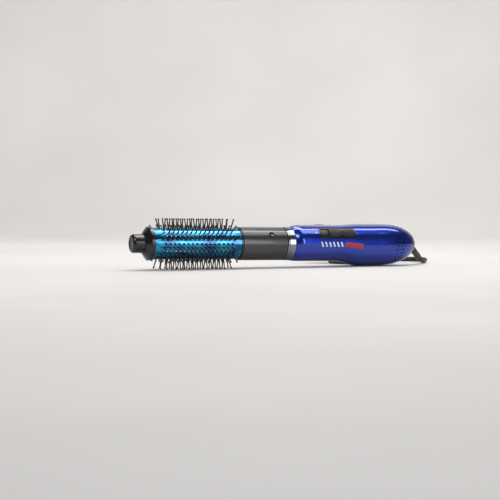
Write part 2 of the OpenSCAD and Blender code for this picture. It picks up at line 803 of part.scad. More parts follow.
// The plug lies on the coil and points back along the brush.
module on_plug() {
    translate(plug_at) rotate([0, 0, 180]) children();
}
module plug_section(x, w, h) {
    translate([x, 0, 0]) rotate([90, 0, 90]) linear_extrude(thin) hull()
        for (s = [-1, 1]) translate([s * (w - h) / 2, 0]) circle(d = h, $fn = 32);
}
module plug_body() {
    x1 = plug_relief_len + plug_len;
    on_plug() color("#111113") difference() {
        union() {
            hull() {
                plug_section(plug_relief_len, 16, 14);
                plug_section(plug_relief_len + 14, 27, 21);
            }
            hull() {
                plug_section(plug_relief_len + 14, 27, 21);
                plug_section(x1 - 6, 30, 22);
            }
            hull() {
                plug_section(x1 - 6, plug_w, plug_h);
                plug_section(x1 - thin, plug_w, plug_h);
            }
            turned([[0, 0.2], [cord_d / 2 + 0.8, 0.2], [5, plug_relief_len + 1], [0, plug_relief_len + 1]]);
        }
        for (s = [-1, 1])
            translate([0, s * plug_pin_gap / 2, 0]) rod(x1 - 6, x1 + 1, plug_pin_d / 2 - pin_step);
    }
}

module plug_pins() {
    x1 = plug_relief_len + plug_len;
    root_r = plug_pin_d / 2 - pin_step;
    on_plug() color("#d5d2c4") for (s = [-1, 1])
        translate([0, s * plug_pin_gap / 2, 0]) turned([
            [0, x1 - 6], [root_r, x1 - 6], [root_r, x1 + 0.3], [plug_pin_d / 2, x1 + 0.3],
            [plug_pin_d / 2, x1 + plug_pin_len - 1.2],
            [plug_pin_d / 2 - 1.2, x1 + plug_pin_len], [0, x1 + plug_pin_len]
        ]);
}

cool_tip();
tip_screw();
front_cap();
barrel();
barrel_lip();
bristle_strip(0);  // bristle_strip_01
bristle_strip(1);  // bristle_strip_02
bristle_strip(2);  // bristle_strip_03
bristle_strip(3);  // bristle_strip_04
bristle_strip(4);  // bristle_strip_05
bristle_strip(5);  // bristle_strip_06
bristle_strip(6);  // bristle_strip_07
bristle_strip(7);  // bristle_strip_08
bristle_strip(8);  // bristle_strip_09
bristle_strip(9);  // bristle_strip_10
bristle_strip(10);  // bristle_strip_11
bristle_strip(11);  // bristle_strip_12
collar();
release_button();
button_spring();
outlet_tube();
outlet_grille();
trim_ring();
upper_shell();
lower_shell();
shell_screws();
rear_cap();
intake_filter();
switch_bezel();
switch_slider();
switch_module();
indicator_lens();
heater_liner();
heater_frame();
heater_coil();
thermostat();
thermal_fuse();
fan_housing();
motor();
motor_shaft();
impeller();
rectifier_board();
lead_wires();
swivel_ball();
cord_boot();
cord_lead();
cord_coil();
cord_tail();
coil_tie();
plug_body();
plug_pins();
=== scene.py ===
"""Looks of the hot air brush: smooth shells, perforated barrel, bristles, cord and finishes."""
import json
import math
import random

import bpy
from mathutils import Matrix, Vector
from mathutils.geometry import delaunay_2d_cdt


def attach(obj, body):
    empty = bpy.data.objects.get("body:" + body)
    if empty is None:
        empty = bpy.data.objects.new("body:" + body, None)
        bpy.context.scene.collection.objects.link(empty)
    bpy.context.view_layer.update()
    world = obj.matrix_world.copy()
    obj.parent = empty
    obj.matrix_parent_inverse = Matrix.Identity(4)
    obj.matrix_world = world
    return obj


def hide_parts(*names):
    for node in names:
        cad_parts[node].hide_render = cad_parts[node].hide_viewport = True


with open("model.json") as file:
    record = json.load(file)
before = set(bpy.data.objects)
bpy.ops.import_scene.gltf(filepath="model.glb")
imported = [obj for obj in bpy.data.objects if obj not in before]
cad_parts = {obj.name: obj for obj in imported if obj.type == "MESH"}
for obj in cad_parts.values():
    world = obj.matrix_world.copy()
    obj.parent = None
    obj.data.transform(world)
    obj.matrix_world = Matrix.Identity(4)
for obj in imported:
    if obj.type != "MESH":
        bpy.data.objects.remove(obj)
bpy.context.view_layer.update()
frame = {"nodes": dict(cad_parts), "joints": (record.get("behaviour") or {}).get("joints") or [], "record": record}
MM = 0.001
random.seed(7)


# ---------------------------------------------------------------- frame of the brush's own axis
def joint(name):
    """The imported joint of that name."""
    return next(j for j in frame["joints"] if j["name"] == name)


# +X runs from the tip to the cord and +Z towards the switch, in millimetres from the tip's end.
X_FAN = 274.1
x_dir = -Vector(joint("head_pull_off")["axis"]).normalized()
z_dir = -Vector(joint("release_press")["axis"]).normalized()
y_dir = z_dir.cross(x_dir).normalized()
AXIS = Matrix((x_dir, y_dir, z_dir)).transposed().to_4x4()
AXIS.translation = Vector(joint("fan_spin")["pos_m"]) - x_dir * X_FAN * MM
ROLL = math.radians(55)

# Stations along the axis.
X_BARREL, X_LIP = 20.3, 114.3
X_SHELL = 174.5
X_RISE = X_SHELL + 51.6
RISE_LEN = 31
X_DOME = X_RISE + RISE_LEN + 11
DOME_LEN = 56
X_REAR = X_DOME + 0.864 * DOME_LEN
X_PANEL, PANEL_LEN, PANEL_W = X_SHELL + 27.3, 42.4, 13
X_LENS = X_PANEL - 4.1
X_INTAKE = X_DOME + 24.5
SCREWS_X = X_SHELL + 40, X_DOME + 12

# Radii, walls and the sizes of the openings.
R_BARREL, BARREL_WALL = 16.0, 0.8
R_BORE = R_BARREL - BARREL_WALL
R_COLLAR = 17.2
R_TRIM = R_COLLAR + 0.35
R_GRIP = R_COLLAR + 1.9
BELLY_RISE = 3.4
OFF_GRIP = 1.3
OFF_BELLY = OFF_GRIP - BELLY_RISE
SHELL_WALL = 2.2
SEAM = 0.12
PANEL_CORNER = 2.2
LENS_HOLE_R = 1.55
SCREW_WELL_R, SCREW_WELL_DEPTH = 3.05, 0.85

# Bristles.
STRIPS, PER_STRIP, PITCH, X_FIRST = 12, 17, 4.8, 28.9
BALL_R = 0.95
R_TIPS = R_BARREL + 10.5 - BALL_R
LEAN = math.radians(12)
PIN_HOLE_R, AIR_HOLE_R = 0.95, 1.2

# Cord.
CORD_D = 5.6
BALL_JOINT_R, BOOT_LEN = 7.0, 30.0
BOOT_END = BALL_JOINT_R + BOOT_LEN


# ---------------------------------------------------------------- camera
# The photograph's view, solved from points on the object: metres, radians, and a lens in millimetres.
CAMERA_AT = (-0.6163, -1.2860, 0.0645)
CAMERA_TURN = math.radians(-24)
CAMERA_LENS, SENSOR_WIDTH, CAMERA_SHIFT = 98.1, 36, -0.0885


def make_camera():
    """The photograph's view: level, 24 degrees round from the front, at the height of the switch."""
    data = bpy.data.cameras.new("camera")
    data.lens = CAMERA_LENS
    data.sensor_width = SENSOR_WIDTH
    data.shift_y = CAMERA_SHIFT
    data.clip_start = 0.05
    camera = bpy.data.objects.new("camera", data)
    camera.location = CAMERA_AT
    camera.rotation_euler = (math.radians(90), 0, CAMERA_TURN)
    bpy.context.scene.collection.objects.link(camera)
    bpy.context.scene.camera = camera


# ---------------------------------------------------------------- curves
def clamp(t):
    return max(0.0, min(1.0, t))


def ease(t):
    """0 to 1 with a soft start and end, as a cubic."""
    return clamp(t) ** 2 * (3 - 2 * clamp(t))


def cosine_ease(t):
    """0 to 1 with a soft start and end, as half a cosine."""
    return (1 - math.cos(math.pi * clamp(t))) / 2


# ---------------------------------------------------------------- mesh helpers
def piece(name, verts, faces, body, material, matrix=AXIS, nodes=(), smooth=True):
    """A new piece from points in millimetres, placed by matrix, riding on a body."""
    mesh = bpy.data.meshes.new(name)
    mesh.from_pydata([Vector(v) * MM for v in verts], [], faces)
    mesh.validate()
    obj = bpy.data.objects.new(name, mesh)
    bpy.context.scene.collection.objects.link(obj)
    obj.matrix_world = matrix
    if smooth:
        mesh.shade_smooth()
    if body:
        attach(obj, body)
    if material:
        mesh.materials.append(material)
    if nodes:
        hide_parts(*nodes)
    return obj


def apply_modifiers(obj):
    """Bakes an object's modifiers into its mesh."""
    graph = bpy.context.evaluated_depsgraph_get()
    mesh = bpy.data.meshes.new_from_object(obj.evaluated_get(graph))
    obj.modifiers.clear()
    obj.data = mesh


def cut(obj, cutter):
    """Takes the cutter's shape out of obj and deletes the cutter."""
    mod = obj.modifiers.new("cut", "BOOLEAN")
    mod.operation = "DIFFERENCE"
    mod.solver = "EXACT"
    mod.object = cutter
    apply_modifiers(obj)
    bpy.data.objects.remove(cutter)


def sharpen(obj, degrees=35):
    """Smooth shading with edges kept sharp above an angle."""
    obj.data.shade_smooth()
    obj.data.set_sharp_from_angle(angle=math.radians(degrees))


def true_normals(obj, normal_of):
    """Gives the faces that lie on a known smooth surface that surface's own normals."""
    mesh = obj.data
    normals = [Vector((0, 0, 0))] * len(mesh.loops)
    for poly in mesh.polygons:
        for loop in poly.loop_indices:
            n = normal_of(mesh.vertices[mesh.loops[loop].vertex_index].co / MM)
            if n is not None and n.dot(poly.normal) > 0.93:
                normals[loop] = n
    mesh.normals_split_custom_set(normals)


def ring_faces(rings, sides, closed_ends=False):
    """Quads between rings of points, all going the same way round."""
    faces = []
    for i in range(rings - 1):
        low, high = i * sides, (i + 1) * sides
        faces += [(low + k, low + (k + 1) % sides, high + (k + 1) % sides, high + k) for k in range(sides)]
    if closed_ends:
        faces.append(tuple(reversed(range(sides))))
        faces.append(tuple(range((rings - 1) * sides, rings * sides)))
    return faces


def round_about(x, r, sides, centre=0.0):
    """A ring of points about the axis at x; angle 0 looks to +Z and turns towards -Y."""
    return [(x, -r * math.sin(2 * math.pi * k / sides), centre + r * math.cos(2 * math.pi * k / sides))
            for k in range(sides)]


def circle(r, sides, x=0.0):
    """Points (x, y) of a circle about (x, 0)."""
    return [(x + r * math.cos(2 * math.pi * k / sides), r * math.sin(2 * math.pi * k / sides))
            for k in range(sides)]


def lathe(outline, sides=96):
    """Points and faces of an outline of (x, r) turned about the axis."""
    verts = [p for x, r in outline for p in round_about(x, max(r, 1e-3), sides)]
    return verts, ring_faces(len(outline), sides)


def smooth_line(points, step):
    """Points every step along a Catmull-Rom curve through the given points."""
    pts = [Vector(p) for p in points]
    pts = [pts[0] * 2 - pts[1]] + pts + [pts[-1] * 2 - pts[-2]]
    out = []
    for a, b, c, d in zip(pts, pts[1:], pts[2:], pts[3:]):
        n = max(1, round((c - b).length / step))
        for i in range(n):
            t = i / n
            out.append(0.5 * ((2 * b) + (c - a) * t + (2 * a - 5 * b + 4 * c - d) * t * t
                              + (3 * b - a - 3 * c + d) * t ** 3))
    out.append(pts[-2])
    return out


def sweep(path, radius_at, sides):
    """A tube along a path, without twist; radius_at(i, angle) gives its radius."""
    ahead = [(path[min(i + 1, len(path) - 1)] - path[max(i - 1, 0)]).normalized() for i in range(len(path))]
    up = ahead[0].orthogonal().normalized()
    verts = []
    for i, (p, t) in enumerate(zip(path, ahead)):
        up = (up - up.dot(t) * t).normalized()
        side = t.cross(up)
        for k in range(sides):
            a = 2 * math.pi * k / sides
            verts.append(p + radius_at(i, a) * (math.cos(a) * up + math.sin(a) * side))
    return verts, ring_faces(len(path), sides, closed_ends=True)


# ---------------------------------------------------------------- materials
class Finish:
    """A procedural Principled material: base tone, roughness and relief all vary with the surface."""

    def __init__(self, name, coords="Object"):
        self.mat = bpy.data.materials.new(name)
        self.mat.use_nodes = True
        self.nodes = self.mat.node_tree.nodes
        self.links = self.mat.node_tree.links
        self.shader = self.nodes["Principled BSDF"]
        self.coords = self.nodes.new("ShaderNodeTexCoord").outputs[coords]

    def set(self, **values):
        """Constants on the shader's own sockets."""
        for key, value in values.items():
            self.shader.inputs[key.replace("_", " ")].default_value = value
        return self

    def noise(self, scale, detail=2.0, stretch=(1, 1, 1)):
        mapping = self.nodes.new("ShaderNodeMapping")
        mapping.inputs["Scale"].default_value = stretch
        tex = self.nodes.new("ShaderNodeTexNoise")
        tex.inputs["Scale"].default_value = scale
        tex.inputs["Detail"].default_value = detail
        self.links.new(self.coords, mapping.inputs["Vector"])
        self.links.new(mapping.outputs[0], tex.inputs["Vector"])
        return tex.outputs["Fac"]

    def between(self, fac, low, high, start=0.3, end=0.7):
        """Maps a 0 to 1 pattern onto the values low to high."""
        node = self.nodes.new("ShaderNodeMapRange")
        self.links.new(fac, node.inputs["Value"])
        node.inputs["From Min"].default_value = start
        node.inputs["From Max"].default_value = end
        node.inputs["To Min"].default_value = low
        node.inputs["To Max"].default_value = high
        return node.outputs[0]

    def tones(self, fac, first, second, start=0.3, end=0.7):
        """The base colour runs from one tone to another as the pattern does."""
        ramp = self.nodes.new("ShaderNodeValToRGB")
        ramp.color_ramp.elements[0].position = start
        ramp.color_ramp.elements[1].position = end
        ramp.color_ramp.elements[0].color = (*first, 1)
        ramp.color_ramp.elements[1].color = (*second, 1)
        self.links.new(fac, ramp.inputs["Fac"])
        self.links.new(ramp.outputs["Color"], self.shader.inputs["Base Color"])
        return self

    def rough(self, fac, low, high):
        self.links.new(self.between(fac, low, high), self.shader.inputs["Roughness"])
        return self

    def relief(self, fac, depth_mm, strength=1.0):
        bump = self.nodes.new("ShaderNodeBump")
        bump.inputs["Strength"].default_value = strength
        bump.inputs["Distance"].default_value = depth_mm * MM
        self.links.new(fac, bump.inputs["Height"])
        self.links.new(bump.outputs[0], self.shader.inputs["Normal"])
        return self

    def waves(self, scale, stretch=(1, 1, 1), kind="BANDS", direction="X", distortion=0.0):
        mapping = self.nodes.new("ShaderNodeMapping")
        mapping.inputs["Scale"].default_value = stretch
        tex = self.nodes.new("ShaderNodeTexWave")
        tex.wave_type = kind
        tex.bands_direction = direction
        tex.inputs["Scale"].default_value = scale
        tex.inputs["Distortion"].default_value = distortion
        self.links.new(self.coords, mapping.inputs["Vector"])
        self.links.new(mapping.outputs[0], tex.inputs["Vector"])
        return tex.outputs["Fac"]


def moulded(name, dark, light, rough=(0.32, 0.46), grain=2200, depth=0.012, coat=0.0):
    """Moulded plastic: fine spark-eroded grain, and a slow change of tone and gloss."""
    f = Finish(name)
    f.set(Specular_IOR_Level=0.5, Coat_Weight=coat, Coat_Roughness=0.08)
    f.tones(f.noise(35, 3), dark, light)
    f.rough(f.noise(90, 4), *rough)
    f.relief(f.noise(grain, 3), depth)
    return f.mat


def metal(name, dark, light, rough=(0.2, 0.35), brushed=(1, 1, 1), scale=900, depth=0.004):
    f = Finish(name)
    f.set(Metallic=1.0)
    f.tones(f.noise(60, 3), dark, light)
    f.rough(f.noise(140, 4), *rough)
    f.relief(f.noise(scale, 3, brushed), depth)
    return f.mat


def handle_blue():
    """Clear-coated metallic blue: fine flake under a smooth coat."""
    f = Finish("handle_blue")
    f.set(Metallic=0.85, Coat_Weight=1.0, Coat_Roughness=0.03, Coat_IOR=1.5, IOR=1.5)
    f.tones(f.noise(2600, 2), (0.001, 0.009, 0.19), (0.006, 0.045, 0.46), 0.25, 0.75)
    f.rough(f.noise(45, 3), 0.20, 0.27)
    f.relief(f.noise(4200, 1), 0.0025, 0.5)
    return f.mat


def barrel_coating():
    """Blue-green coated metal, whose tone drifts along and round the barrel."""
    f = Finish("barrel_coating")
    f.set(Metallic=1.0, Coat_Weight=0.5, Coat_Roughness=0.08)
    f.tones(f.noise(70, 2, (1, 2, 2)), (0.002, 0.045, 0.14), (0.015, 0.24, 0.42), 0.35, 0.65)
    f.rough(f.noise(300, 4), 0.14, 0.24)
    f.relief(f.noise(1500, 3), 0.005)
    return f.mat


def woven(name, dark, light, threads=900):
    """Two crossed sets of threads."""
    f = Finish(name)
    warp = f.waves(threads, direction="X")
    weft = f.waves(threads, direction="Z")
    mix = f.nodes.new("ShaderNodeMath")
    mix.operation = "MAXIMUM"
    f.links.new(warp, mix.inputs[0])
    f.links.new(weft, mix.inputs[1])
    f.tones(mix.outputs[0], dark, light, 0.2, 0.9)
    f.rough(f.noise(200, 2), 0.6, 0.8)
    f.relief(mix.outputs[0], 0.08)
    return f.mat


def layered_mica(name):
    f = Finish(name)
    f.set(Specular_IOR_Level=0.6, Sheen_Weight=0.2)
    f.tones(f.noise(120, 6, (1, 3, 3)), (0.40, 0.31, 0.18), (0.68, 0.58, 0.40))
    f.rough(f.noise(300, 4), 0.25, 0.6)
    f.relief(f.noise(700, 6), 0.03)
    return f.mat


def lens_clear(name):
    f = Finish(name)
    f.set(Transmission_Weight=0.75, IOR=1.49, Coat_Weight=1.0, Coat_Roughness=0.02)
    f.tones(f.noise(400, 2), (0.72, 0.78, 0.9), (0.9, 0.94, 1.0))
    f.rough(f.noise(500, 2), 0.03, 0.08)
    f.relief(f.noise(900, 1), 0.004)
    return f.mat


def make_materials():
    """One finish for each of the record's material slots, and the trim colours that are printed on."""
    return {
        "black_plastic": moulded("black_plastic", (0.003, 0.003, 0.004), (0.006, 0.006, 0.008), (0.16, 0.24),
                                 grain=3200, depth=0.0015, coat=0.1),
        "bristle_nylon": moulded("bristle_nylon", (0.006, 0.007, 0.010), (0.022, 0.024, 0.030), (0.22, 0.36)),
        "barrel_coating": barrel_coating(),
        "collar_grey": moulded("collar_grey", (0.020, 0.021, 0.026), (0.027, 0.028, 0.034), (0.28, 0.34),
                               grain=3200, depth=0.0015, coat=0.3),
        "trim_chrome": metal("trim_chrome", (0.20, 0.205, 0.23), (0.27, 0.275, 0.30), (0.10, 0.17),
                             scale=2600, depth=0.001),
        "handle_blue": handle_blue(),
        "switch_black": moulded("switch_black", (0.003, 0.003, 0.004), (0.008, 0.008, 0.010), (0.26, 0.36),
                                grain=3200, depth=0.003),
        "heat_plastic": moulded("heat_plastic", (0.025, 0.025, 0.028), (0.05, 0.05, 0.055), (0.45, 0.6)),
        "filter_mesh": woven("filter_mesh", (0.05, 0.05, 0.055), (0.25, 0.25, 0.27)),
        "lens": lens_clear("lens"),
        "mica": layered_mica("mica"),
        "heater_wire": metal("heater_wire", (0.22, 0.18, 0.15), (0.42, 0.38, 0.34), (0.3, 0.5)),
        "steel": metal("steel", (0.42, 0.43, 0.45), (0.62, 0.63, 0.65), (0.22, 0.38), (6, 1, 1)),
        "circuit_board": moulded("circuit_board", (0.01, 0.10, 0.04), (0.03, 0.20, 0.08), (0.2, 0.4)),
        "wire_cover": moulded("wire_cover", (0.10, 0.03, 0.015), (0.20, 0.07, 0.03), (0.35, 0.5)),
        "cord_rubber": moulded("cord_rubber", (0.006, 0.006, 0.007), (0.018, 0.018, 0.020), (0.34, 0.5),
                               grain=1600, depth=0.02),
        "plug_plastic": moulded("plug_plastic", (0.008, 0.008, 0.009), (0.02, 0.02, 0.022), (0.36, 0.52),
                                depth=0.03),
        "pin_brass": metal("pin_brass", (0.56, 0.53, 0.45), (0.72, 0.69, 0.60), (0.15, 0.3), (8, 1, 1)),
        "print_white": moulded("print_white", (0.78, 0.79, 0.82), (0.90, 0.90, 0.92), (0.3, 0.42),
                               depth=0.004),
        "print_red": moulded("print_red", (0.30, 0.006, 0.012), (0.42, 0.012, 0.022), (0.3, 0.42),
                             depth=0.004),
    }


# ---------------------------------------------------------------- cord
# Points the lead runs through, in millimetres of the part's own row: the boot to the coil, the coil
# to the plug. The coil is three by three turns, COIL_HALF from its middle to its outside.
LEAD_ROUTE = [
    [176.2, 26.2, 5.1], [181.4, 30.4, 3.8], [186.4, 35, 3.4], [190.4, 40.6, 3.4], [192.4, 47.2, 3.4],
    [192.2, 54.2, 3.4], [189.8, 61.2, 3.4], [185.6, 68, 3.4], [180, 74.6, 3.4], [173, 80.8, 3.4],
    [165, 86.2, 3.4], [155.4, 90.6, 3.4], [144.6, 93.8, 3.4], [132.6, 95.4, 3.4], [120, 95.6, 3.4]]
TAIL_ROUTE = [
    [97.6, 62, 14.6], [98.2, 56.6, 14.7], [101, 49.8, 15.2], [106, 44, 16.4], [112.8, 40, 18.2],
    [120, 38.6, 20.2], [128, 39.8, 22.4], [135, 43.6, 24.4], [140, 49.4, 26.2], [142.6, 56, 27.6],
    [143, 63, 28.8], [141.2, 70, 29.6], [137.4, 76.4, 30.2], [131.8, 81.4, 30.5],
    [125, 84.2, 30.5], [118, 85, 30.5]]
COIL_X, COIL_Y, COIL_R, COIL_LIFT = 120, 62, 28, 0.6
COIL_HALF = 8.4
PLUG_AT = Vector((118, 85, 30.5))


def boot_direction():
    """The way the strain relief points, in the row frame."""
    return Vector(joint("cord_swivel")["axis"]).normalized()


def boot_point(d):
    """A point d millimetres from the swivel ball's centre along the strain relief."""
    return Vector(joint("cord_swivel")["pos_m"]) / MM + boot_direction() * d


def coil_turns():
    """The coil's path: three layers of three turns. Each turn climbs first, then shifts sideways."""
    low = COIL_LIFT + CORD_D / 2
    rings = [(1, 0), (0, 0), (-1, 0), (-1, 1), (0, 1), (1, 1), (1, 2), (0, 2), (-1, 2)]
    rings = [(COIL_R + s * CORD_D, low + layer * CORD_D) for s, layer in rings]
    climb, shift, seam = 70.0, 110.0, 200.0
    path = []
    start, end, step = 90.0, 180.0 + 360 * 8, 6.0
    for i in range(1, round((end - start) / step)):
        a = start + i * step
        r, z = rings[0]
        for n, ((r0, z0), (r1, z1)) in enumerate(zip(rings, rings[1:])):
            t = a - (seam + 360 * n)
            r += (r1 - r0) * cosine_ease((t - climb) / shift)
            z += (z1 - z0) * cosine_ease(t / climb)
        path.append((COIL_X + r * math.cos(math.radians(a)), COIL_Y + r * math.sin(math.radians(a)), z))
    return path


def cord_path():
    start = [boot_point(BOOT_END + d) for d in (0.2, 2.2)]
    return smooth_line([*start, *LEAD_ROUTE, *coil_turns(), *TAIL_ROUTE], 1.5)


def make_cord(mats):
    """Ridged mains lead from the strain relief through the coil to the plug."""
    path = cord_path()
    flutes = 14
    verts, faces = sweep(path, lambda i, a: CORD_D / 2 - 0.10 + 0.10 * math.cos(flutes * a), flutes * 4)
    cord = piece("mains_lead", verts, faces, "handle", mats["cord_rubber"], Matrix(),
                 ["cord_lead", "cord_coil", "cord_tail"])
    return cord, path


def make_plug(mats):
    """Two-pin plug: a waisted grip that swells to a flange, and a ribbed strain relief."""
    # Stations of the grip as (distance, width, height): rounded front, long swell, flange.
    stations = [(9.2, 9.6, 9.0), (9.7, 12.6, 11.6), (10.4, 14.4, 13.0)]
    steps = 14
    for i in range(1, steps + 1):
        swell = ease(i / steps)
        stations.append((10.4 + 25.6 * i / steps, 14.4 + 15.6 * swell, 13.0 + 9.0 * swell))
    stations += [(36.3, 34.2, 25.0), (36.8, 35.1, 25.8), (37.4, 35.3, 26), (41.0, 35.3, 26),
                 (41.6, 34.9, 25.7), (41.97, 34.0, 24.8)]
    sides = 64
    verts = []
    for x, w, h in stations:
        flat, r = (w - h) / 2, h / 2
        for k in range(sides):
            a = 2 * math.pi * k / sides
            y, z = r * math.cos(a), r * math.sin(a)
            verts.append((x, y + (flat if math.cos(a) > 1e-6 else -flat if math.cos(a) < -1e-6 else 0), z))
    matrix = Matrix.Translation(PLUG_AT * MM) @ Matrix.Rotation(math.pi, 4, "Z")
    body = piece("plug_shell", verts, ring_faces(len(stations), sides, True), "handle",
                 mats["plug_plastic"], matrix, ["plug_body"])
    sharpen(body, 40)
    outline = [(0.2, 2.85), (0.2, 3.3), (0.5, 3.5)]
    for i in range(5):
        x = 0.7 + i * 1.75
        r = 3.55 + i * 0.32
        outline += [(x, r), (x + 1.0, r + 0.18), (x + 1.1, r - 0.35), (x + 1.65, r - 0.3)]
    outline += [(9.6, 5.2), (9.6, 2.85)]
    verts, faces = lathe(outline, 48)
    relief = piece("plug_relief", verts, faces, "handle", mats["plug_plastic"], matrix)
    sharpen(relief, 40)
    return [body, relief]


def make_tie(mats):
    """A hook-and-loop strap round the coil's turns."""
    half, r, w, thick = COIL_HALF + 0.08, 2.9, 7.0, 0.5
    at = math.radians(165)
    bend = 0.3
    loop = []
    for cx, cz, a0 in ((1, 1, 0), (-1, 1, 90), (-1, -1, 180), (1, -1, 270)):
        for i in range(9):
            a = math.radians(a0 + 90 * i / 8)
            loop.append((cx * (half - r) + r * math.cos(a) - (bend if cx < 0 else 0),
                         cz * (half - r) + r * math.sin(a)))
    verts, faces, n = [], [], len(loop)
    for y, grow in ((-w / 2, 0), (-w / 2, thick * 0.8), (-w / 2 + 0.3, thick), (w / 2 - 0.3, thick),
                    (w / 2, thick * 0.8), (w / 2, 0)):
        for x, z in loop:
            length = math.hypot(x, z)
            verts.append((x + grow * x / length, y, z + grow * z / length + COIL_LIFT + COIL_HALF))
    rows = 6
    faces = [(i * n + k, i * n + (k + 1) % n, ((i + 1) % rows) * n + (k + 1) % n, ((i + 1) % rows) * n + k)
             for i in range(rows) for k in range(n)]
    matrix = (Matrix.Translation(Vector((COIL_X, COIL_Y, 0)) * MM) @ Matrix.Rotation(at, 4, "Z")
              @ Matrix.Translation(Vector((COIL_R, 0, 0)) * MM))
    tie = piece("tie_strap", verts, faces, "handle", mats["strap"], matrix, ["coil_tie"])
    sharpen(tie, 40)
    return tie


def make_boot(mats):
    """Strain relief with lengthwise ridges, tapering a little towards the cord."""
    steps = 60
    stations = [(BALL_JOINT_R + 0.3 + (BOOT_LEN - 0.3) * i / steps) for i in range(steps + 1)]
    turn = boot_direction().to_track_quat("X", "Z").to_matrix().to_4x4()
    matrix = Matrix.Translation(Vector(joint("cord_swivel")["pos_m"])) @ turn

    def radius(x, a):
        t = (x - stations[0]) / (stations[-1] - stations[0])
        body = 3.5 - 0.1 * t
        edge = min(1.0, (x - stations[0]) / 1.2, (stations[-1] - x) / 0.9)
        ridge = 0.22 * abs(math.sin(7 * a)) ** 1.5 * edge
        return body - 0.75 * (1 - math.sqrt(max(0.0, 1 - (1 - edge) ** 2))) - 0.22 * edge + ridge

    sides = 112
    root_x, root_r = BALL_JOINT_R - 4.5, 2.55
    verts = [(root_x, y, z) for y, z in circle(root_r, sides)]
    for x in stations:
        for k in range(sides):
            a = 2 * math.pi * k / sides
            verts.append((x, radius(x, a) * math.cos(a), radius(x, a) * math.sin(a)))
    boot = piece("strain_relief", verts, ring_faces(len(stations) + 1, sides, True), "swivel",
                 mats["cord_rubber"], matrix, ["cord_boot"])
    sharpen(boot, 50)


# ---------------------------------------------------------------- handle
def flare(x):
    """How far the front end has opened out to the grip at x, 0 to 1."""
    return 1 - (1 - clamp((x - X_SHELL) / 8.5)) ** 2


def dome(x):
    """How much of the full radius is left on the rounded rear end at x, 1 to 0."""
    return math.sqrt(max(0.0, 1 - clamp((x - X_DOME) / DOME_LEN) ** 3))


def handle_r(x):
    """Radius of the handle's round section at x."""
    return (R_TRIM + (R_GRIP - R_TRIM) * flare(x) + BELLY_RISE * ease((x - X_RISE) / RISE_LEN)) * dome(x)


def handle_c(x):
    """How far the section's centre stands off the axis towards the switch at x."""
    rise = OFF_GRIP * flare(x) + (OFF_BELLY - OFF_GRIP) * ease((x - X_RISE) / RISE_LEN)
    return rise * (1 - ease((x - X_DOME) / (0.85 * DOME_LEN)))


def skin_point(x, a, out=0.0):
    """A point on the handle's skin; angle 0 faces the switch side."""
    r = handle_r(x) + out
    return Vector((x, -r * math.sin(a), handle_c(x) + r * math.cos(a)))


def skin_normal(p):
    """The skin's outward direction at a point on or near it, or None off it."""
    x, y, z = p
    if not X_SHELL + 0.35 < x < X_REAR - 0.35:
        return None
    c = handle_c(x)
    rho = math.hypot(y, z - c)
    if abs(rho - handle_r(x)) > 0.03 or abs(z) < 0.32:
        return None
    d = 0.02
    slope_r = (handle_r(x + d) - handle_r(x - d)) / (2 * d)
    slope_c = (handle_c(x + d) - handle_c(x - d)) / (2 * d)
    return Vector((-slope_r - slope_c * (z - c) / rho, y / rho, (z - c) / rho)).normalized()


def shell_mesh(side):
    """Half of the handle as a closed wall whose seam edges are slightly rounded."""
    xs = [X_SHELL, X_SHELL + 0.12, X_SHELL + 0.35]
    xs += [X_SHELL + 0.35 + (X_REAR - X_SHELL - 0.7) * i / 110 for i in range(1, 110)]
    xs += [X_REAR - 0.35, X_REAR - 0.12, X_REAR]
    across = 72
    # Rounding of the seam's edges: distances along the skin, and how far each lies below it.
    edge_rows, edge_drops = (0.0, 0.10, 0.30), (0.14, 0.04, 0.0)

    def row(x, inset):
        r, c = handle_r(x) - inset, handle_c(x)
        seam_z = side * SEAM / 2
        a_seam = math.acos(max(-1.0, min(1.0, (seam_z - c) / r)))
        from_end = min(x - X_SHELL, X_REAR - x)
        near = (inset == 0) * (0.12 * (from_end < 0.1) + 0.04 * (from_end < 0.2))
        angles = []
        span = 2 * a_seam if side > 0 else 2 * (math.pi - a_seam)
        first = -a_seam if side > 0 else a_seam
        drop = []
        for i in range(across + 1):
            if i < 3:
                along, down = edge_rows[i] / r, edge_drops[i]
            elif i > across - 3:
                along, down = span - edge_rows[across - i] / r, edge_drops[across - i]
            else:
                e = edge_rows[2] / r
                along, down = e + (span - 2 * e) * (i - 2) / (across - 4), 0.0
            angles.append(first + along)
            drop.append(down if inset == 0 else 0.0)
        return [(x, -(r - max(d, near)) * math.sin(a), c + (r - max(d, near)) * math.cos(a))
                for a, d in zip(angles, drop)]

    outer = [p for x in xs for p in row(x, 0)]
    inner = [p for x in xs for p in row(x, SHELL_WALL)]
    n, m = len(xs), across + 1
    base = len(outer)
    faces = [(i * m + k, i * m + k + 1, (i + 1) * m + k + 1, (i + 1) * m + k)
             for i in range(n - 1) for k in range(across)]
    faces += [tuple(base + v for v in reversed(f)) for f in faces]
    for k in range(across):
        faces.append((k + 1, k, base + k, base + k + 1))
        last = (n - 1) * m
        faces.append((last + k, last + k + 1, base + last + k + 1, base + last + k))
    for i in range(n - 1):
        a, b = i * m, (i + 1) * m
        faces.append((a, b, base + b, base + a))
        faces.append((b + across, a + across, base + a + across, base + b + across))
    return outer + inner, faces


def prism(points, z0, z1):
    """A cutter: an outline of (x, y) from height z0 to z1."""
    n = len(points)
    verts = [(x, y, z0) for x, y in points] + [(x, y, z1) for x, y in points]
    return verts, ring_faces(2, n, True)


